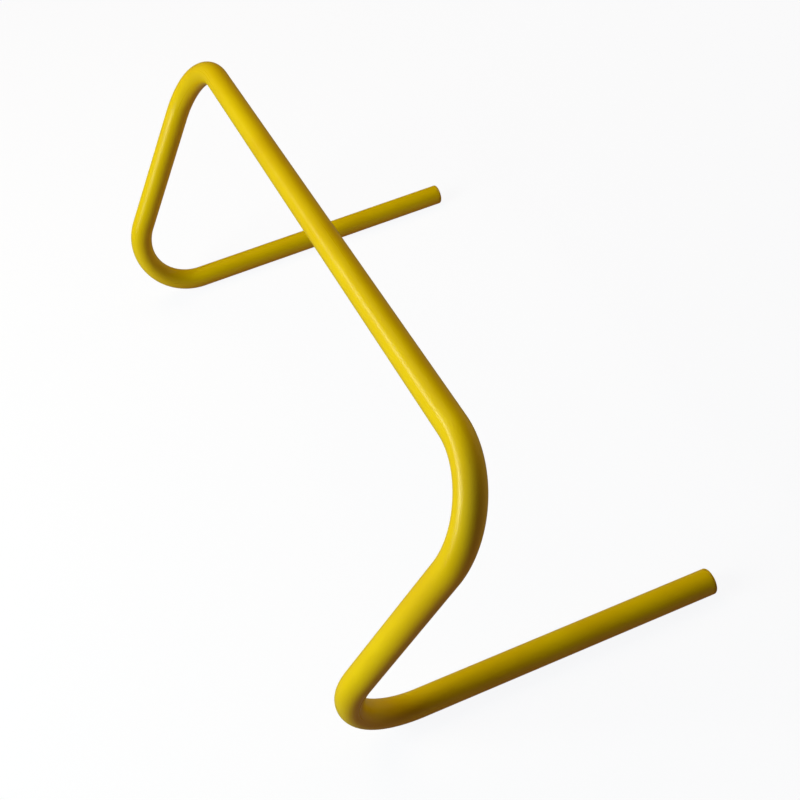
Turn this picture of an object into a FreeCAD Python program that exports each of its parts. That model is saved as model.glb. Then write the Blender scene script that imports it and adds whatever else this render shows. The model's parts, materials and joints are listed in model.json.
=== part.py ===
import FreeCAD, Part
import math
import os

# Speed hurdle: one round plastic tube, bent four times into a crossbar, two leaning uprights and
# two feet that run back along the floor, with a finned plug pushed into each open end.
# Frame: +Z up from the floor, +X along the crossbar, feet running back towards +Y, and the origin
# on the floor in the middle of the footprint. Lengths are in millimetres, angles in degrees.

# Tube section
TUBE_DIAMETER = 19.0            # outside
TUBE_WALL = 1.8
CUT_END_CHAMFER = 0.4           # burr taken off the outside of each cut end

# Bent shape, measured between the corners where the straight axes would meet
OVERALL_HEIGHT = 230.0          # floor to the top of the crossbar
TOP_CORNER_SPAN = 568.0         # across the two upper corners
LOW_CORNER_SPAN = 507.0         # across the two lower corners
UPRIGHT_LEAN = 135.0            # how far the crossbar lies behind the lower corners
LEFT_FOOT_LENGTH = 340.0        # lower corner to cut end
RIGHT_FOOT_LENGTH = 304.0
FOOT_TOE_OUT = 1.5              # each foot turns outwards by this angle

# Bends
TOP_BEND_RADIUS = 54.0          # to the tube's axis
LOW_BEND_RADIUS = 46.0
BEND_FLATTENING = 0.05          # share by which the section is squeezed in the middle of a bend
BEND_STEPS = 8                  # lofted stretches in a bend

# End plugs
PLUG_HEAD_LAND = 0.8            # straight rim of the head, next to the cut end
PLUG_HEAD_BEVEL = 1.6           # bevel round the head's outer edge, above the rim
PLUG_BARREL_WALL = 1.3
PLUG_NECK_LENGTH = 3.0          # plain barrel between the head and the first fin
PLUG_FIN_COUNT = 2
PLUG_FIN_THICKNESS = 0.8
PLUG_FIN_SPACE = 3.2            # plain barrel after each fin
PLUG_FIN_HEIGHT = 0.9           # how far a fin stands out from the barrel
PLUG_LEAD_BEVEL = 0.7           # bevel round the barrel's inner end
PLUG_FIT_CLEARANCE = 0.1        # fins to the tube's bore, on the radius

TUBE_RADIUS = TUBE_DIAMETER / 2
BORE_RADIUS = TUBE_RADIUS - TUBE_WALL

Vector = FreeCAD.Vector


class Bend:
    """One arc of the tube's axis, from one straight run to the next."""

    def __init__(self, before, corner, after, radius):
        arriving = (corner - before).normalize()
        leaving = (after - corner).normalize()
        self.radius = radius
        self.turn = arriving.getAngle(leaving)
        setback = radius * math.tan(self.turn / 2)
        self.start = corner - arriving * setback
        self.end = corner + leaving * setback
        self.normal = arriving.cross(leaving).normalize()
        self.outward = arriving.cross(self.normal).normalize()
        self.centre = self.start - self.outward * radius

    def section(self, share, inset):
        """The tube's outline at a share of the turn, made smaller all round by inset.

        A bent tube goes slightly oval: the squeeze starts and ends softly with the bend."""
        squeeze = BEND_FLATTENING * math.sin(math.pi * share) ** 2
        half_across = TUBE_RADIUS * (1 + squeeze) - inset
        half_in_plane = TUBE_RADIUS * (1 - squeeze) - inset
        turned = FreeCAD.Rotation(self.normal, math.degrees(self.turn * share))
        outward = turned.multVec(self.outward)
        middle = self.centre + outward * self.radius
        ellipse = Part.Ellipse(Vector(0, 0, 0), half_across, half_in_plane)
        quarters = []
        for quarter in range(4):
            quarters.append(Part.Edge(ellipse, quarter * math.pi / 2, (quarter + 1) * math.pi / 2))
        outline = Part.Wire(quarters)
        facing = FreeCAD.Rotation(self.normal, outward, self.normal.cross(outward), "XYZ")
        outline.Placement = FreeCAD.Placement(middle, facing)
        return outline

    def solid(self, inset):
        """The bend as a solid bar, lofted through its sections."""
        outlines = []
        for step in range(BEND_STEPS + 1):
            outlines.append(self.section(step / BEND_STEPS, inset))
        return Part.makeLoft(outlines, True, False)


def axis_corners():
    """The tube's axis as six points: the ends of the feet and the four corners between them."""
    foot_level = TUBE_RADIUS
    bar_level = OVERALL_HEIGHT - TUBE_RADIUS
    toe_out = math.radians(FOOT_TOE_OUT)
    points = []
    for side, foot_length in ((-1, LEFT_FOOT_LENGTH), (1, RIGHT_FOOT_LENGTH)):
        top = Vector(side * TOP_CORNER_SPAN / 2, 0, bar_level)
        low = Vector(side * LOW_CORNER_SPAN / 2, -UPRIGHT_LEAN, foot_level)
        end = low + Vector(side * math.sin(toe_out), math.cos(toe_out), 0) * foot_length
        if side < 0:
            points.extend((end, low, top))
        else:
            points.extend((top, low, end))
    return points


def bent_bar(corners, inset):
    """The whole bent shape as a solid bar, smaller all round than the tube by inset."""
    radii = (LOW_BEND_RADIUS, TOP_BEND_RADIUS, TOP_BEND_RADIUS, LOW_BEND_RADIUS)
    pieces = []
    run_start = corners[0]
    for index, radius in enumerate(radii, start=1):
        bend = Bend(corners[index - 1], corners[index], corners[index + 1], radius)
        pieces.append(straight_bar(run_start, bend.start, inset))
        pieces.append(bend.solid(inset))
        run_start = bend.end
    pieces.append(straight_bar(run_start, corners[-1], inset))
    return pieces[0].multiFuse(pieces[1:])


def straight_bar(start, end, inset):
    """One straight run as a solid bar."""
    run = end - start
    return Part.makeCylinder(TUBE_RADIUS - inset, run.Length, start, run)


def end_chamfer_ring(end, inward):
    """What the chamfer takes off the outside of a cut end: a ring with a conical inside."""
    chamfer = min(CUT_END_CHAMFER, TUBE_WALL / 2)
    collar = Part.makeCylinder(TUBE_RADIUS + chamfer, chamfer, end, inward)
    cone = Part.makeCone(TUBE_RADIUS - chamfer, TUBE_RADIUS, chamfer, end, inward)
    return collar.cut(cone)


def make_hurdle_tube(corners):
    """The hollow bent tube, square cut at both ends."""
    tube = bent_bar(corners, 0).cut(bent_bar(corners, TUBE_WALL))
    for end, neighbour in ((corners[0], corners[1]), (corners[-1], corners[-2])):
        tube = tube.cut(end_chamfer_ring(end, neighbour - end))
    return tube.Solids[0]


def make_end_plug(end, neighbour):
    """A turned profile: a bevelled head on the cut end, and a hollow barrel with thin fins."""
    fin_radius = BORE_RADIUS - PLUG_FIT_CLEARANCE
    barrel_radius = fin_radius - PLUG_FIN_HEIGHT
    hollow_radius = barrel_radius - PLUG_BARREL_WALL
    head_thickness = PLUG_HEAD_LAND + PLUG_HEAD_BEVEL
    lead_bevel = min(PLUG_LEAD_BEVEL, PLUG_BARREL_WALL / 2)

    # The profile runs from the rim of the head, down the outside and back up the hollow.
    # Its first number is the distance from the axis, its last the height above the cut end.
    outline = [Vector(TUBE_RADIUS, 0, PLUG_HEAD_LAND), Vector(TUBE_RADIUS, 0, 0), Vector(barrel_radius, 0, 0)]
    level = -PLUG_NECK_LENGTH
    for fin in range(PLUG_FIN_COUNT):
        outline.append(Vector(barrel_radius, 0, level))
        outline.append(Vector(fin_radius, 0, level))
        level -= PLUG_FIN_THICKNESS
        outline.append(Vector(fin_radius, 0, level))
        outline.append(Vector(barrel_radius, 0, level))
        level -= PLUG_FIN_SPACE
    outline.append(Vector(barrel_radius, 0, level))
    outline.append(Vector(barrel_radius - lead_bevel, 0, level - lead_bevel))
    outline.append(Vector(hollow_radius, 0, level - lead_bevel))
    outline.append(Vector(hollow_radius, 0, 0))
    outline.append(Vector(0, 0, 0))
    outline.append(Vector(0, 0, head_thickness))
    outline.append(Vector(TUBE_RADIUS - PLUG_HEAD_BEVEL, 0, head_thickness))
    outline.append(outline[0])
    profile = Part.Face(Part.makePolygon(outline))
    plug = profile.revolve(Vector(0, 0, 0), Vector(0, 0, 1), 360)
    plug.Placement = FreeCAD.Placement(end, FreeCAD.Rotation(Vector(0, 0, 1), end - neighbour))
    return plug


def footprint_middle(solids):
    """The middle of the footprint, on the floor."""
    box = Part.makeCompound(solids).optimalBoundingBox(False, False)
    return Vector((box.XMin + box.XMax) / 2, (box.YMin + box.YMax) / 2, 0)


axis = axis_corners()
nodes = {
    "hurdle_tube": make_hurdle_tube(axis),
    "left_end_plug": make_end_plug(axis[0], axis[1]),
    "right_end_plug": make_end_plug(axis[-1], axis[-2]),
}
middle = footprint_middle(list(nodes.values()))
os.makedirs("parts", exist_ok=True)
for name, solid in nodes.items():
    solid.translate(-middle)
    solid.exportStep("parts/" + name + ".step")
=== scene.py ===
import json
import math

import bmesh
import bpy
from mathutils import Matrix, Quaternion, Vector


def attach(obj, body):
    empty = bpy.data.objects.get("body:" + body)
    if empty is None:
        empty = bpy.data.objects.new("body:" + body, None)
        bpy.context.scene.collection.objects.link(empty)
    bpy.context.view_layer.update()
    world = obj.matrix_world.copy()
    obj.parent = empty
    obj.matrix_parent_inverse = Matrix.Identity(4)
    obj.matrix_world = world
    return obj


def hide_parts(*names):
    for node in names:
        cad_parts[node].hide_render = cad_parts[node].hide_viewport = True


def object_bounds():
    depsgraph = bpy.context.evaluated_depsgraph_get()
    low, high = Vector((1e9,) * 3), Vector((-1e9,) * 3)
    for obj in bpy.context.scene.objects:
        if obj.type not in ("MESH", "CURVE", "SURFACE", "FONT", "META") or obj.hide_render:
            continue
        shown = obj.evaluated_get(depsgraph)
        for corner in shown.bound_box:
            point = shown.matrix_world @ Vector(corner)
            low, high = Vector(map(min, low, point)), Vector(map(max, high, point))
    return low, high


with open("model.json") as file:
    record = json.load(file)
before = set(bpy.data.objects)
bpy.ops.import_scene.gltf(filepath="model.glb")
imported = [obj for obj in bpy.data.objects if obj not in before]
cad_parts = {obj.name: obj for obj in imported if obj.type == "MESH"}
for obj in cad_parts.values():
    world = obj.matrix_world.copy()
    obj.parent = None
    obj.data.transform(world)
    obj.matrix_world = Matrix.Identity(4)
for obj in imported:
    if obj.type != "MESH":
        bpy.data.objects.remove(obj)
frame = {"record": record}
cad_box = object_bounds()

# Hurdle tube: one length of round PVC tube, extruded yellow right through, warmed and bent four
# times into the crossbar, two leaning uprights and two feet. It stands on its feet, with nothing
# fixed to it. Lengths are in metres, and the lines of the feet come from the record's mounts.

TUBE_WALL = 0.0018
END_CHAMFER = 0.0004            # burr taken off the outside of each cut end
TOP_CORNER_SPAN = 0.568         # across the corners where the straight axes would meet
UPRIGHT_LEAN = 0.135            # how far the crossbar lies behind the lower corners
FOOT_LENGTHS = {"left": 0.340, "right": 0.304}      # lower corner to cut end
TOP_BEND_RADIUS = 0.054
LOW_BEND_RADIUS = 0.046
BEND_FLATTENING = 0.05          # share by which the section is squeezed in the middle of a bend
BEND_SOFTNESS = 2.0             # power of the sine that the squeeze follows through a bend
ARC_POINTS = 64                 # rings in a bend
ROUND_POINTS = 80               # points round the tube
WELD_DISTANCE = 0.00002         # the bore is joined to the cut ends within this distance
CREASE_ANGLE = math.radians(30)     # an edge that turns more than this is shaded as an edge
MOUNT_INSET = 0.00006           # the mounts stop this far short of the cut ends

mounts = {mount["name"]: mount for mount in frame["record"]["mounts"]}
TUBE_RADIUS = mounts["left_foot_tail"]["dims"]["r_mm"] / 1000

bar_level = cad_box[1][2] - TUBE_RADIUS
foot_ends = {}
foot_lines = {}
low_corners = {}
top_corners = {}
for side, sign in (("left", -1), ("right", 1)):
    mount = mounts[side + "_foot_tail"]
    foot_lines[side] = Vector(mount["axis"]).normalized()
    mount_reach = mount["dims"]["length_mm"] / 1000 / 2 + MOUNT_INSET
    foot_ends[side] = Vector(mount["pos_m"]) + foot_lines[side] * mount_reach
    low_corners[side] = foot_ends[side] - foot_lines[side] * FOOT_LENGTHS[side]
    bar_line = low_corners[side].y + UPRIGHT_LEAN
    top_corners[side] = Vector((sign * TOP_CORNER_SPAN / 2, bar_line, bar_level))

corners = [foot_ends["left"], low_corners["left"], top_corners["left"]]
corners += [top_corners["right"], low_corners["right"], foot_ends["right"]]
corner_radii = [0, LOW_BEND_RADIUS, TOP_BEND_RADIUS, TOP_BEND_RADIUS, LOW_BEND_RADIUS, 0]

# The six corners go to the tree as a chain of edges. Each keeps its number, the radius it is bent
# to, and the direction square to the plane of its bend.
chain = bpy.data.meshes.new("corner_chain")
chain.from_pydata(corners, [(start, start + 1) for start in range(len(corners) - 1)], [])
numbers = chain.attributes.new("corner", "INT", "POINT")
for number in range(len(corners)):
    numbers.data[number].value = number
radii = chain.attributes.new("bend_radius", "FLOAT", "POINT")
for number, radius in enumerate(corner_radii):
    radii.data[number].value = radius
normals = chain.attributes.new("bend_normal", "FLOAT_VECTOR", "POINT")
for number in range(1, len(corners) - 1):
    arriving = corners[number] - corners[number - 1]
    leaving = corners[number + 1] - corners[number]
    normals.data[number].vector = arriving.cross(leaving).normalized()


def add(tree, kind, feeds=None, captures=None, **settings):
    """Adds one node to a tree. Settings are its properties, captures are the kinds of the fields that it
    keeps with a geometry's points, and feeds are values or links for its inputs."""
    node = tree.nodes.new(kind)
    for name, value in settings.items():
        setattr(node, name, value)
    for name, field_kind in (captures or {}).items():
        node.capture_items.new(field_kind, name)
    for key, value in (feeds or {}).items():
        if isinstance(value, bpy.types.NodeSocket):
            tree.links.new(value, node.inputs[key])
        else:
            node.inputs[key].default_value = value
    return node


bent_tube = bpy.data.node_groups.new("bent_tube", "GeometryNodeTree")
tube_inputs = {"Corners": "Geometry", "Tube radius": "Float", "Wall": "Float", "End chamfer": "Float",
               "Flattening": "Float", "Arc points": "Int", "Round points": "Int", "Material": "Material"}
for name, kind in tube_inputs.items():
    bent_tube.interface.new_socket(name, in_out="INPUT", socket_type="NodeSocket" + kind)
bent_tube.interface.new_socket("Tube", in_out="OUTPUT", socket_type="NodeSocketGeometry")
given = add(bent_tube, "NodeGroupInput").outputs

# Axis: the chain with each corner rounded. A bend's points are numbered from 0 to Arc points, which
# gives how far through the bend each lies, and from that how oval the section has gone there.
radius_read = add(bent_tube, "GeometryNodeInputNamedAttribute", {"Name": "bend_radius"}, data_type="FLOAT")
normal_read = add(bent_tube, "GeometryNodeInputNamedAttribute", {"Name": "bend_normal"},
                  data_type="FLOAT_VECTOR")
corner_read = add(bent_tube, "GeometryNodeInputNamedAttribute", {"Name": "corner"}, data_type="INT")
straight_axis = add(bent_tube, "GeometryNodeMeshToCurve", {"Mesh": given["Corners"]})
rounded_axis = add(bent_tube, "GeometryNodeFilletCurve",
                   {"Curve": straight_axis.outputs["Curve"], "Count": given["Arc points"],
                    "Radius": radius_read.outputs["Attribute"]}, mode="POLY")
number_in_bend = add(bent_tube, "GeometryNodeAccumulateField",
                     {"Value": 1, "Group ID": corner_read.outputs["Attribute"]}, data_type="INT")
bend_share = add(bent_tube, "ShaderNodeMath",
                 {0: number_in_bend.outputs["Trailing"], 1: given["Arc points"]}, operation="DIVIDE")
half_turn = add(bent_tube, "ShaderNodeMath", {0: bend_share.outputs[0], 1: math.pi}, operation="MULTIPLY")
swell = add(bent_tube, "ShaderNodeMath", {0: half_turn.outputs[0]}, operation="SINE")
bend_depth = add(bent_tube, "ShaderNodeMath", {0: swell.outputs[0], 1: BEND_SOFTNESS}, operation="POWER")
tangent = add(bent_tube, "GeometryNodeInputTangent")
way = add(bent_tube, "GeometryNodeSplineParameter")
from_middle = add(bent_tube, "ShaderNodeMath", {0: way.outputs["Factor"], 1: 0.5}, operation="SUBTRACT")
which_end = add(bent_tube, "ShaderNodeMath", {0: from_middle.outputs[0]}, operation="SIGN")
out_of_end = add(bent_tube, "ShaderNodeVectorMath",
                 {0: tangent.outputs[0], "Scale": which_end.outputs[0]}, operation="SCALE")
outer_side = add(bent_tube, "ShaderNodeVectorMath",
                 {0: tangent.outputs[0], 1: normal_read.outputs["Attribute"]}, operation="CROSS_PRODUCT")
axis = add(bent_tube, "GeometryNodeCaptureAttribute",
           {"Geometry": rounded_axis.outputs["Curve"], "Bend depth": bend_depth.outputs[0],
            "Along": way.outputs["Length"], "Out of end": out_of_end.outputs[0],
            "Outer side": outer_side.outputs[0], "Normal": normal_read.outputs["Attribute"]},
           captures={"Bend depth": "FLOAT", "Along": "FLOAT", "Out of end": "VECTOR",
                     "Outer side": "VECTOR", "Normal": "VECTOR"}).outputs
ovalness = add(bent_tube, "ShaderNodeMath",
               {0: given["Tube radius"], 1: given["Flattening"]}, operation="MULTIPLY")
oval_here = add(bent_tube, "ShaderNodeMath",
                {0: ovalness.outputs[0], 1: axis["Bend depth"]}, operation="MULTIPLY")
position = add(bent_tube, "GeometryNodeInputPosition").outputs[0]


def swept_skin(curve, radius):
    """A round skin along a curve, made oval in the bends: wider square to the bend, lower in its plane.
    With it come the place of its axis and its outward direction at each point."""
    middle = add(bent_tube, "GeometryNodeCaptureAttribute", {"Geometry": curve, "Middle": position},
                 captures={"Middle": "VECTOR"}).outputs
    ring = add(bent_tube, "GeometryNodeCurvePrimitiveCircle",
               {"Resolution": given["Round points"], "Radius": radius}, mode="RADIUS")
    drawn_ring = add(bent_tube, "GeometryNodeCaptureAttribute",
                     {"Geometry": ring.outputs["Curve"], "Place": position},
                     captures={"Place": "VECTOR"}).outputs
    round_skin = add(bent_tube, "GeometryNodeCurveToMesh",
                     {"Curve": middle["Geometry"], "Profile Curve": drawn_ring["Geometry"]})
    from_axis = add(bent_tube, "ShaderNodeVectorMath",
                    {0: position, 1: middle["Middle"]}, operation="SUBTRACT")
    away = add(bent_tube, "ShaderNodeVectorMath", {0: from_axis.outputs[0]}, operation="NORMALIZE")
    skin = add(bent_tube, "GeometryNodeCaptureAttribute",
               {"Geometry": round_skin.outputs["Mesh"], "Away": away.outputs[0]},
               captures={"Away": "VECTOR"}).outputs

    # Each point moves along its outward direction mirrored about the bend's normal: out where it
    # lies across the bend, and in where it lies in the bend's plane.
    across = add(bent_tube, "ShaderNodeVectorMath",
                 {0: skin["Away"], 1: axis["Normal"]}, operation="DOT_PRODUCT")
    twice_across = add(bent_tube, "ShaderNodeMath",
                       {0: across.outputs["Value"], 1: 2.0}, operation="MULTIPLY")
    widened = add(bent_tube, "ShaderNodeVectorMath",
                  {0: axis["Normal"], "Scale": twice_across.outputs[0]}, operation="SCALE")
    oval_way = add(bent_tube, "ShaderNodeVectorMath",
                   {0: widened.outputs[0], 1: skin["Away"]}, operation="SUBTRACT")
    oval_shift = add(bent_tube, "ShaderNodeVectorMath",
                     {0: oval_way.outputs[0], "Scale": oval_here.outputs[0]}, operation="SCALE")
    oval_skin = add(bent_tube, "GeometryNodeSetPosition",
                    {"Geometry": skin["Geometry"], "Offset": oval_shift.outputs[0]})

    # Two attributes for the material: where a point lies on the straight tube, as it was drawn, and
    # how far the bend has stretched (above 0) or pressed together (below 0) the wall there.
    ring_parts = add(bent_tube, "ShaderNodeSeparateXYZ", {0: drawn_ring["Place"]})
    drawn_place = add(bent_tube, "ShaderNodeCombineXYZ",
                      {0: axis["Along"], 1: ring_parts.outputs["X"], 2: ring_parts.outputs["Y"]})
    outwards = add(bent_tube, "ShaderNodeVectorMath",
                   {0: skin["Away"], 1: axis["Outer side"]}, operation="DOT_PRODUCT")
    stretch = add(bent_tube, "ShaderNodeMath",
                  {0: outwards.outputs["Value"], 1: axis["Bend depth"]}, operation="MULTIPLY")
    with_place = add(bent_tube, "GeometryNodeStoreNamedAttribute",
                     {"Geometry": oval_skin.outputs[0], "Name": "drawn_place",
                      "Value": drawn_place.outputs[0]}, data_type="FLOAT_VECTOR", domain="POINT")
    with_stretch = add(bent_tube, "GeometryNodeStoreNamedAttribute",
                       {"Geometry": with_place.outputs[0], "Name": "stretch",
                        "Value": stretch.outputs[0]}, data_type="FLOAT", domain="POINT")
    return with_stretch.outputs[0], middle["Middle"], skin["Away"]


# Outside and bore. The outside stops short of each end by the chamfer.
ends = add(bent_tube, "GeometryNodeCurveEndpointSelection")
short_of_end = add(bent_tube, "ShaderNodeMath", {0: given["End chamfer"], 1: -1.0}, operation="MULTIPLY")
back_from_end = add(bent_tube, "ShaderNodeVectorMath",
                    {0: axis["Out of end"], "Scale": short_of_end.outputs[0]}, operation="SCALE")
short_axis = add(bent_tube, "GeometryNodeSetPosition",
                 {"Geometry": axis["Geometry"], "Selection": ends.outputs[0],
                  "Offset": back_from_end.outputs[0]})
bore_radius = add(bent_tube, "ShaderNodeMath",
                  {0: given["Tube radius"], 1: given["Wall"]}, operation="SUBTRACT")
outside, middle, away = swept_skin(short_axis.outputs[0], given["Tube radius"])
bore = swept_skin(axis["Geometry"], bore_radius.outputs[0])[0]
bore_faces = add(bent_tube, "GeometryNodeFlipFaces", {"Mesh": bore})

# Cut ends: the outside's open edges, which have one face and not two, are drawn over the chamfer and
# then across the wall to the bore.
edge_faces = add(bent_tube, "GeometryNodeInputMeshEdgeNeighbors")
open_edge = add(bent_tube, "FunctionNodeCompare",
                {"A": edge_faces.outputs["Face Count"], "B": 1.0}, operation="EQUAL")
chamfer_out = add(bent_tube, "ShaderNodeVectorMath",
                  {0: axis["Out of end"], "Scale": given["End chamfer"]}, operation="SCALE")
end_middle = add(bent_tube, "ShaderNodeVectorMath", {0: middle, 1: chamfer_out.outputs[0]}, operation="ADD")
rim_radius = add(bent_tube, "ShaderNodeMath",
                 {0: given["Tube radius"], 1: given["End chamfer"]}, operation="SUBTRACT")
wall_mesh = outside
drawn_edges = open_edge.outputs[0]
for radius in (rim_radius.outputs[0], bore_radius.outputs[0]):
    lip = add(bent_tube, "GeometryNodeExtrudeMesh",
              {"Mesh": wall_mesh, "Selection": drawn_edges, "Offset Scale": 0.0}, mode="EDGES")
    out_to_lip = add(bent_tube, "ShaderNodeVectorMath", {0: away, "Scale": radius}, operation="SCALE")
    lip_place = add(bent_tube, "ShaderNodeVectorMath",
                    {0: end_middle.outputs[0], 1: out_to_lip.outputs[0]}, operation="ADD")
    placed_lip = add(bent_tube, "GeometryNodeSetPosition",
                     {"Geometry": lip.outputs["Mesh"], "Selection": lip.outputs["Top"],
                      "Position": lip_place.outputs[0]})
    wall_mesh = placed_lip.outputs[0]
    drawn_edges = lip.outputs["Top"]

# Finish: bore and wall are joined, shaded smooth but for the rims, and given the plastic.
both_skins = add(bent_tube, "GeometryNodeJoinGeometry")
bent_tube.links.new(wall_mesh, both_skins.inputs[0])
bent_tube.links.new(bore_faces.outputs[0], both_skins.inputs[0])
welded = add(bent_tube, "GeometryNodeMergeByDistance",
             {"Geometry": both_skins.outputs[0], "Distance": WELD_DISTANCE})
smooth = add(bent_tube, "GeometryNodeSetShadeSmooth", {"Geometry": welded.outputs[0], "Shade Smooth": True})
edge_angle = add(bent_tube, "GeometryNodeInputMeshEdgeAngle")
rim_edge = add(bent_tube, "FunctionNodeCompare",
               {"A": edge_angle.outputs["Unsigned Angle"], "B": CREASE_ANGLE}, operation="GREATER_THAN")
creased = add(bent_tube, "GeometryNodeSetShadeSmooth",
              {"Geometry": smooth.outputs[0], "Selection": rim_edge.outputs[0], "Shade Smooth": False},
              domain="EDGE")
cleared = creased.outputs[0]
for name in ("corner", "bend_radius", "bend_normal"):
    cleared = add(bent_tube, "GeometryNodeRemoveAttribute", {"Geometry": cleared, "Name": name}).outputs[0]
whole = add(bent_tube, "GeometryNodeRealizeInstances", {"Geometry": cleared})
covered = add(bent_tube, "GeometryNodeSetMaterial",
              {"Geometry": whole.outputs[0], "Material": given["Material"]})
add(bent_tube, "NodeGroupOutput", {"Tube": covered.outputs[0]})


def linear(hex_colour):
    """An sRGB hex colour as linear red, green, blue and alpha."""
    channels = []
    for start in (1, 3, 5):
        value = int(hex_colour[start:start + 2], 16) / 255
        channels.append(value / 12.92 if value <= 0.04045 else ((value + 0.055) / 1.055) ** 2.4)
    return (*channels, 1.0)


def empty_tree(owner):
    """The node tree of a material or a room, with nothing in it yet."""
    owner.use_nodes = True
    owner.node_tree.nodes.clear()
    return owner.node_tree


# Extruded PVC, coloured right through. The die and the sizing sleeve leave a smooth, half-gloss skin
# with faint lines along the tube. Bending pales the stretched side of a bend, and the undersides of
# the feet are dulled by the floor. A value named FROM or FULL is where a pattern starts to show, or
# shows in full.
TUBE_YELLOW = "#E7CE00"
TUBE_YELLOW_DEEP = "#E1C300"
TUBE_STRETCHED = "#ECD840"
TUBE_SCUFFED = "#CDB65A"
PVC_IOR = 1.53
SKIN_SMOOTHEST = 0.27           # roughness on the smoothest of the draw lines
SKIN_ROUGHEST = 0.35            # and on the roughest
DRAW_LINE_WIDTH = 0.0015        # finer on the real tube, drawn as coarse as it needs to show
DRAW_LINE_LENGTH = 0.150
DRAW_LINE_FROM = 0.3
DRAW_LINE_FULL = 0.7
DRAW_LINE_DEPTH = 0.00006
DRAW_LINE_STRENGTH = 0.06
CLOUD_SIZE = 0.060              # soft patches of slightly deeper colour
CLOUD_FROM = 0.35
CLOUD_FULL = 0.7
STRETCH_FROM = 0.1
STRETCH_FULL = 1.0
STRETCH_PALING = 0.4            # share of the stretched colour in the middle of a bend
SCUFF_WIDTH = 0.0020
SCUFF_LENGTH = 0.014
SCUFF_LEVEL = 0.0025            # the floor rubs the tube below this height
SCUFF_FROM = 0.42
SCUFF_FULL = 0.62
SCUFF_ROUGHENING = 0.35         # roughness that a full scuff adds

# A Mix node has several sockets of each name, so its colours go in and out by number.
COLOUR_A = 6
COLOUR_B = 7
COLOUR_OUT = 2

tube_pvc = bpy.data.materials.new("extruded_pvc_yellow")
pvc = empty_tree(tube_pvc)
drawn_read = add(pvc, "ShaderNodeAttribute", attribute_name="drawn_place", attribute_type="GEOMETRY")
stretch_read = add(pvc, "ShaderNodeAttribute", attribute_name="stretch", attribute_type="GEOMETRY")
tube_place = add(pvc, "ShaderNodeTexCoord")
line_place = add(pvc, "ShaderNodeVectorMath",
                 {0: drawn_read.outputs["Vector"],
                  1: (1 / DRAW_LINE_LENGTH, 1 / DRAW_LINE_WIDTH, 1 / DRAW_LINE_WIDTH)},
                 operation="MULTIPLY")
draw_lines = add(pvc, "ShaderNodeTexNoise", {"Vector": line_place.outputs[0], "Scale": 1.0, "Detail": 2.0})
clouds = add(pvc, "ShaderNodeTexNoise",
             {"Vector": drawn_read.outputs["Vector"], "Scale": 1 / CLOUD_SIZE, "Detail": 3.0})
cloud_share = add(pvc, "ShaderNodeMapRange",
                  {"Value": clouds.outputs["Fac"], "From Min": CLOUD_FROM, "From Max": CLOUD_FULL})
cloudy = add(pvc, "ShaderNodeMix",
             {"Factor": cloud_share.outputs[0], COLOUR_A: linear(TUBE_YELLOW),
              COLOUR_B: linear(TUBE_YELLOW_DEEP)}, data_type="RGBA")
stretch_share = add(pvc, "ShaderNodeMapRange",
                    {"Value": stretch_read.outputs["Fac"], "From Min": STRETCH_FROM,
                     "From Max": STRETCH_FULL, "To Max": STRETCH_PALING})
paled = add(pvc, "ShaderNodeMix",
            {"Factor": stretch_share.outputs[0], COLOUR_A: cloudy.outputs[COLOUR_OUT],
             COLOUR_B: linear(TUBE_STRETCHED)}, data_type="RGBA")
scuff_place = add(pvc, "ShaderNodeVectorMath",
                  {0: drawn_read.outputs["Vector"],
                   1: (1 / SCUFF_LENGTH, 1 / SCUFF_WIDTH, 1 / SCUFF_WIDTH)}, operation="MULTIPLY")
scuff_marks = add(pvc, "ShaderNodeTexNoise",
                  {"Vector": scuff_place.outputs[0], "Scale": 1.0, "Detail": 4.0})
scuff_spread = add(pvc, "ShaderNodeMapRange",
                   {"Value": scuff_marks.outputs["Fac"], "From Min": SCUFF_FROM, "From Max": SCUFF_FULL})
height = add(pvc, "ShaderNodeSeparateXYZ", {0: tube_place.outputs["Object"]})
near_floor = add(pvc, "ShaderNodeMapRange",
                 {"Value": height.outputs["Z"], "From Min": SCUFF_LEVEL, "From Max": 0.0})
scuffs = add(pvc, "ShaderNodeMath",
             {0: scuff_spread.outputs[0], 1: near_floor.outputs[0]}, operation="MULTIPLY")
worn = add(pvc, "ShaderNodeMix",
           {"Factor": scuffs.outputs[0], COLOUR_A: paled.outputs[COLOUR_OUT],
            COLOUR_B: linear(TUBE_SCUFFED)}, data_type="RGBA")
skin_roughness = add(pvc, "ShaderNodeMapRange",
                     {"Value": draw_lines.outputs["Fac"], "From Min": DRAW_LINE_FROM,
                      "From Max": DRAW_LINE_FULL, "To Min": SKIN_SMOOTHEST, "To Max": SKIN_ROUGHEST})
worn_roughness = add(pvc, "ShaderNodeMath",
                     {0: scuffs.outputs[0], 1: SCUFF_ROUGHENING, 2: skin_roughness.outputs[0]},
                     operation="MULTIPLY_ADD")
line_bump = add(pvc, "ShaderNodeBump",
                {"Height": draw_lines.outputs["Fac"], "Strength": DRAW_LINE_STRENGTH,
                 "Distance": DRAW_LINE_DEPTH})
pvc_skin = add(pvc, "ShaderNodeBsdfPrincipled",
               {"Base Color": worn.outputs[COLOUR_OUT], "Roughness": worn_roughness.outputs[0],
                "IOR": PVC_IOR, "Normal": line_bump.outputs[0]})
add(pvc, "ShaderNodeOutputMaterial", {"Surface": pvc_skin.outputs[0]})


def scene_object(name, data):
    """A new object of the scene, at the origin."""
    thing = bpy.data.objects.new(name, data)
    bpy.context.scene.collection.objects.link(thing)
    return thing


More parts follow.
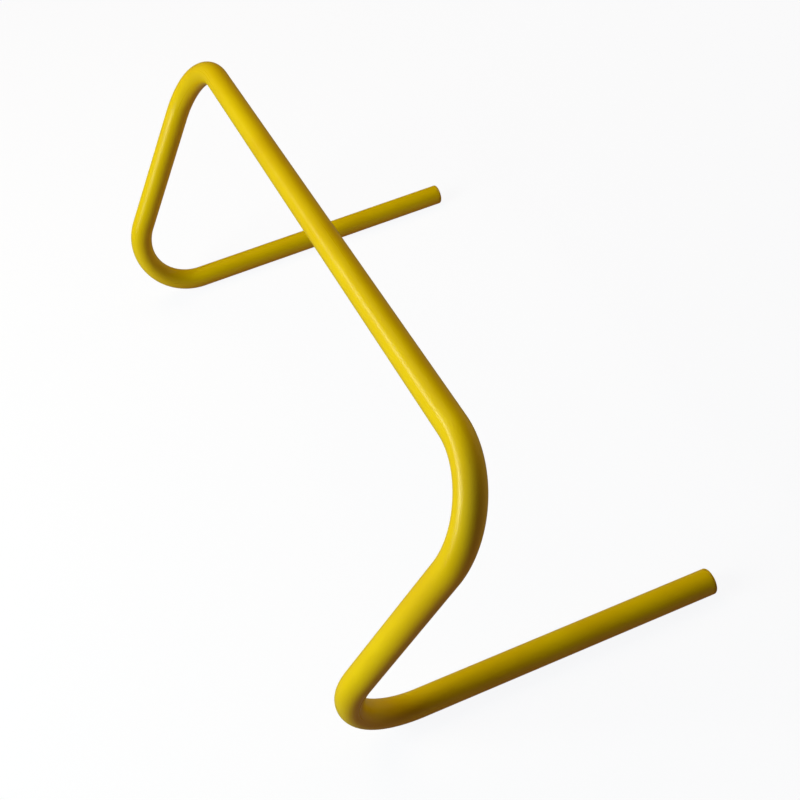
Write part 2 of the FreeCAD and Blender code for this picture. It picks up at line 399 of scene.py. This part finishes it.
tube_holder = scene_object("tube_holder", chain)
bending = tube_holder.modifiers.new("bending", "NODES")
bending.node_group = bent_tube
tube_sizes = {
    "Tube radius": TUBE_RADIUS,
    "Wall": TUBE_WALL,
    "End chamfer": END_CHAMFER,
    "Flattening": BEND_FLATTENING,
    "Arc points": ARC_POINTS,
    "Round points": ROUND_POINTS,
    "Material": tube_pvc,
}
for socket in bent_tube.interface.items_tree:
    if socket.name in tube_sizes:
        bending[socket.identifier] = tube_sizes[socket.name]
depsgraph = bpy.context.evaluated_depsgraph_get()
tube_mesh = bpy.data.meshes.new_from_object(
    tube_holder.evaluated_get(depsgraph), preserve_all_data_layers=True, depsgraph=depsgraph)
tube_mesh.materials.pop(index=0)        # an empty slot that comes before the plastic's
tube_holder.modifiers.remove(bending)
bpy.data.objects.remove(tube_holder)
tube = scene_object("bent_hurdle_tube", tube_mesh)
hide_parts("hurdle_tube")
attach(tube, "root")

# End plugs: one moulded plastic plug pushed into each cut end, its head flush with the tube's
# outside. The barrel is hollow, and two thin fins grip the bore.

HEAD_THICKNESS = 0.0024
HEAD_ROUND = 0.0016             # round on the head's outer edge
HEAD_ROUND_STEPS = 8
RIM_EASE = 0.00015              # eased edge where the head meets the tube
GATE_RADIUS = 0.0014            # shallow dimple where the mould was filled
GATE_FLAT_RADIUS = 0.00084      # flat floor of the dimple
GATE_DEPTH = 0.0003
BARREL_WALL = 0.0013
NECK_LENGTH = 0.0030            # plain barrel between the head and the first fin
FIN_COUNT = 2
FIN_THICKNESS = 0.0008
FIN_SPACE = 0.0032              # plain barrel after each fin
FIN_HEIGHT = 0.0009
FIT_CLEARANCE = 0.0001          # fins to the bore, on the radius
LEAD_BEVEL = 0.00065            # bevel round the barrel's inner end
PLUG_ROUND_POINTS = 80

fin_radius = TUBE_RADIUS - TUBE_WALL - FIT_CLEARANCE
barrel_radius = fin_radius - FIN_HEIGHT
hollow_radius = barrel_radius - BARREL_WALL
gate_floor = HEAD_THICKNESS - GATE_DEPTH

# The plug's outline, as pairs of distance from its axis and height above the cut end. It runs from
# the middle of the head round the outside, down the barrel and back up the hollow.
plug_outline = [(0, gate_floor), (GATE_FLAT_RADIUS, gate_floor), (GATE_RADIUS, HEAD_THICKNESS)]
for step in range(HEAD_ROUND_STEPS + 1):
    turn = math.pi / 2 * step / HEAD_ROUND_STEPS
    round_radius = TUBE_RADIUS - HEAD_ROUND + HEAD_ROUND * math.sin(turn)
    plug_outline.append((round_radius, HEAD_THICKNESS - HEAD_ROUND + HEAD_ROUND * math.cos(turn)))
plug_outline += [(TUBE_RADIUS, RIM_EASE), (TUBE_RADIUS - RIM_EASE, 0), (barrel_radius, 0)]
level = -NECK_LENGTH
for fin in range(FIN_COUNT):
    plug_outline += [(barrel_radius, level), (fin_radius, level)]
    level -= FIN_THICKNESS
    plug_outline += [(fin_radius, level), (barrel_radius, level)]
    level -= FIN_SPACE
plug_outline += [(barrel_radius, level), (barrel_radius - LEAD_BEVEL, level - LEAD_BEVEL)]
plug_outline += [(hollow_radius, level - LEAD_BEVEL), (hollow_radius, 0), (0, 0)]


def turned_mesh(name, outline, round_points):
    """A closed mesh turned about Z from an outline that starts and ends on the axis."""
    build = bmesh.new()
    rings = []
    for radius, level in outline:
        if radius == 0:
            rings.append([build.verts.new((0, 0, level))])
            continue
        ring = []
        for point in range(round_points):
            angle = 2 * math.pi * point / round_points
            ring.append(build.verts.new((radius * math.cos(angle), radius * math.sin(angle), level)))
        rings.append(ring)
    for upper, lower in zip(rings, rings[1:]):
        for point in range(round_points):
            following = (point + 1) % round_points
            if len(upper) == 1:
                build.faces.new((upper[0], lower[point], lower[following]))
            elif len(lower) == 1:
                build.faces.new((upper[point], lower[0], upper[following]))
            else:
                build.faces.new((upper[point], lower[point], lower[following], upper[following]))
    bmesh.ops.recalc_face_normals(build, faces=build.faces)
    for face in build.faces:
        face.smooth = True
    for edge in build.edges:
        edge.smooth = edge.calc_face_angle() < CREASE_ANGLE
    mesh = bpy.data.meshes.new(name)
    build.to_mesh(mesh)
    build.free()
    return mesh


# Moulded polyethylene, a shade duller than the tube, with the fine grain of a sparked mould.
PLUG_YELLOW = "#DFC000"
PLUG_YELLOW_DEEP = "#D0AD00"
POLYETHYLENE_IOR = 1.51
PLUG_SMOOTHEST = 0.38           # roughness in the hollows of the grain
PLUG_ROUGHEST = 0.55            # and on its tops
MOULD_GRAIN = 0.0006            # finer on the real plug, drawn as coarse as it needs to show
GRAIN_DEPTH = 0.00008
GRAIN_STRENGTH = 0.3
PLUG_CLOUD_SIZE = 0.006

plug_pe = bpy.data.materials.new("moulded_polyethylene_yellow")
pe = empty_tree(plug_pe)
plug_place = add(pe, "ShaderNodeTexCoord")
grain = add(pe, "ShaderNodeTexNoise",
            {"Vector": plug_place.outputs["Object"], "Scale": 1 / MOULD_GRAIN, "Detail": 2.0})
plug_clouds = add(pe, "ShaderNodeTexNoise",
                  {"Vector": plug_place.outputs["Object"], "Scale": 1 / PLUG_CLOUD_SIZE, "Detail": 2.0})
plug_colour = add(pe, "ShaderNodeMix",
                  {"Factor": plug_clouds.outputs["Fac"], COLOUR_A: linear(PLUG_YELLOW),
                   COLOUR_B: linear(PLUG_YELLOW_DEEP)}, data_type="RGBA")
plug_roughness = add(pe, "ShaderNodeMapRange",
                     {"Value": grain.outputs["Fac"], "To Min": PLUG_SMOOTHEST, "To Max": PLUG_ROUGHEST})
grain_bump = add(pe, "ShaderNodeBump",
                 {"Height": grain.outputs["Fac"], "Strength": GRAIN_STRENGTH, "Distance": GRAIN_DEPTH})
plug_skin = add(pe, "ShaderNodeBsdfPrincipled",
                {"Base Color": plug_colour.outputs[COLOUR_OUT], "Roughness": plug_roughness.outputs[0],
                 "IOR": POLYETHYLENE_IOR, "Normal": grain_bump.outputs[0]})
add(pe, "ShaderNodeOutputMaterial", {"Surface": plug_skin.outputs[0]})

for side in ("left", "right"):
    plug_mesh = turned_mesh(side + "_plug", plug_outline, PLUG_ROUND_POINTS)
    facing = foot_lines[side].to_track_quat("Z", "Y").to_matrix().to_4x4()
    facing.translation = foot_ends[side]
    plug_mesh.transform(facing)
    plug_mesh.materials.append(plug_pe)
    plug = scene_object(side + "_foot_plug", plug_mesh)
    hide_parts(side + "_end_plug")
    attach(plug, "root")

# Floor: a plain pale studio floor that the hurdle stands on. It glows by itself, so that the hurdle's
# shadow stays faint, and it throws little of its white back at the hurdle.

FLOOR_RADIUS = 12.0
FLOOR_EDGES = 96
FLOOR_WHITE = "#F8F9FB"
FLOOR_PAINT = "#5A5A5A"         # what the lamps find, under the glow
FLOOR_GLOW = 0.96               # as it is seen
FLOOR_MIRRORED = 0.04           # as the hurdle's gloss shows it

floor_paint = bpy.data.materials.new("pale_floor_paint")
paint = empty_tree(floor_paint)
floor_ray = add(paint, "ShaderNodeLightPath")
glow_level = add(paint, "ShaderNodeMapRange",
                 {"Value": floor_ray.outputs["Is Camera Ray"], "To Min": FLOOR_MIRRORED,
                  "To Max": FLOOR_GLOW})
glow = add(paint, "ShaderNodeEmission", {"Color": linear(FLOOR_WHITE), "Strength": glow_level.outputs[0]})
matt = add(paint, "ShaderNodeBsdfDiffuse", {"Color": linear(FLOOR_PAINT)})
lit_floor = add(paint, "ShaderNodeAddShader", {0: matt.outputs[0], 1: glow.outputs[0]})
add(paint, "ShaderNodeOutputMaterial", {"Surface": lit_floor.outputs[0]})

floor_build = bmesh.new()
bmesh.ops.create_circle(floor_build, cap_ends=True, radius=FLOOR_RADIUS, segments=FLOOR_EDGES)
floor_mesh = bpy.data.meshes.new("studio_floor")
floor_build.to_mesh(floor_mesh)
floor_build.free()
floor_mesh.materials.append(floor_paint)
floor = scene_object("studio_floor", floor_mesh)
floor.visible_diffuse = False

# Light: a soft window light from the front, a wide strip light that only the gloss shows, a warm light
# from above and one from behind, in a dim room with a warm floor. The room is seen as pale as the floor.

ROOM_LEVEL = 0.38
ROOM_BELOW = "#FFBE88"
ROOM_ABOVE = "#3A2818"
ROOM_BLEND = 0.3                # how far the two colours run into each other at eye level


def soft_light(name, azimuth, elevation, distance, width, height, power, colour, hidden_from):
    """A soft light that looks at the middle of the hurdle, with its azimuth counted from +X to +Y. It is
    hidden from one kind of ray, glossy or diffuse."""
    lamp = bpy.data.lights.new(name, "AREA")
    lamp.shape = "RECTANGLE"
    lamp.size = width
    lamp.size_y = height
    lamp.energy = power
    lamp.color = linear(colour)[:3]
    light = scene_object(name, lamp)
    turn = math.radians(azimuth)
    tilt = math.radians(elevation)
    towards = Vector((math.cos(tilt) * math.cos(turn), math.cos(tilt) * math.sin(turn), math.sin(tilt)))
    light.location = towards * distance
    light.rotation_euler = towards.to_track_quat("Z", "Y").to_euler()
    setattr(light, "visible_" + hidden_from, False)


soft_light("window_light", azimuth=-86, elevation=28, distance=1.5, width=0.7, height=0.9,
           power=19.5, colour="#F6FFF2", hidden_from="glossy")
soft_light("strip_light", azimuth=-108, elevation=33, distance=1.5, width=1.6, height=0.2,
           power=7.2, colour="#FAFFF4", hidden_from="diffuse")
soft_light("top_light", azimuth=-160, elevation=58, distance=1.8, width=1.0, height=1.0,
           power=10.5, colour="#FFD8A8", hidden_from="glossy")
soft_light("rear_light", azimuth=106, elevation=18, distance=2.5, width=1.6, height=0.9,
           power=17, colour="#FFEAC8", hidden_from="glossy")

room = bpy.data.worlds.new("pale_room")
air = empty_tree(room)
ray = add(air, "ShaderNodeLightPath")
way_out = add(air, "ShaderNodeTexCoord")
way_up = add(air, "ShaderNodeSeparateXYZ", {0: way_out.outputs["Generated"]})
above_floor = add(air, "ShaderNodeMapRange",
                  {"Value": way_up.outputs["Z"], "From Min": -ROOM_BLEND, "From Max": ROOM_BLEND})
room_colour = add(air, "ShaderNodeMix",
                  {"Factor": above_floor.outputs[0], COLOUR_A: linear(ROOM_BELOW),
                   COLOUR_B: linear(ROOM_ABOVE)}, data_type="RGBA")
seen_room = add(air, "ShaderNodeBackground", {"Color": linear(FLOOR_WHITE), "Strength": FLOOR_GLOW})
lit_room = add(air, "ShaderNodeBackground",
               {"Color": room_colour.outputs[COLOUR_OUT], "Strength": ROOM_LEVEL})
both_rooms = add(air, "ShaderNodeMixShader",
                 {0: ray.outputs["Is Camera Ray"], 1: lit_room.outputs[0], 2: seen_room.outputs[0]})
add(air, "ShaderNodeOutputWorld", {"Surface": both_rooms.outputs[0]})
bpy.context.scene.world = room

# Camera: at the photograph's viewing angle, worked out from the outline of the tube and a little
# rolled, for a picture of 800 by 800. Colours are shown with no film curve.

CAMERA_AZIMUTH = 70.93
CAMERA_ELEVATION = 45.18
CAMERA_ROLL = 6.81
CAMERA_DISTANCE = 0.9141
CAMERA_TARGET = Vector((-0.0156, 0.0035, 0.0))
CAMERA_LENS = 48.0              # millimetres, as the sensor's width is
CAMERA_SENSOR = 36.0

azimuth = math.radians(CAMERA_AZIMUTH)
elevation = math.radians(CAMERA_ELEVATION)
back = Vector((math.sin(azimuth) * math.cos(elevation), -math.cos(azimuth) * math.cos(elevation),
               math.sin(elevation)))
camera_data = bpy.data.cameras.new("photo_camera")
camera_data.lens = CAMERA_LENS
camera_data.sensor_width = CAMERA_SENSOR
camera = scene_object("photo_camera", camera_data)
camera.location = CAMERA_TARGET + back * CAMERA_DISTANCE
level_view = (-back).to_track_quat("-Z", "Y")
rolled_view = level_view @ Quaternion((0, 0, 1), -math.radians(CAMERA_ROLL))
camera.rotation_euler = rolled_view.to_euler()
bpy.context.scene.camera = camera
bpy.context.scene.view_settings.view_transform = "Standard"
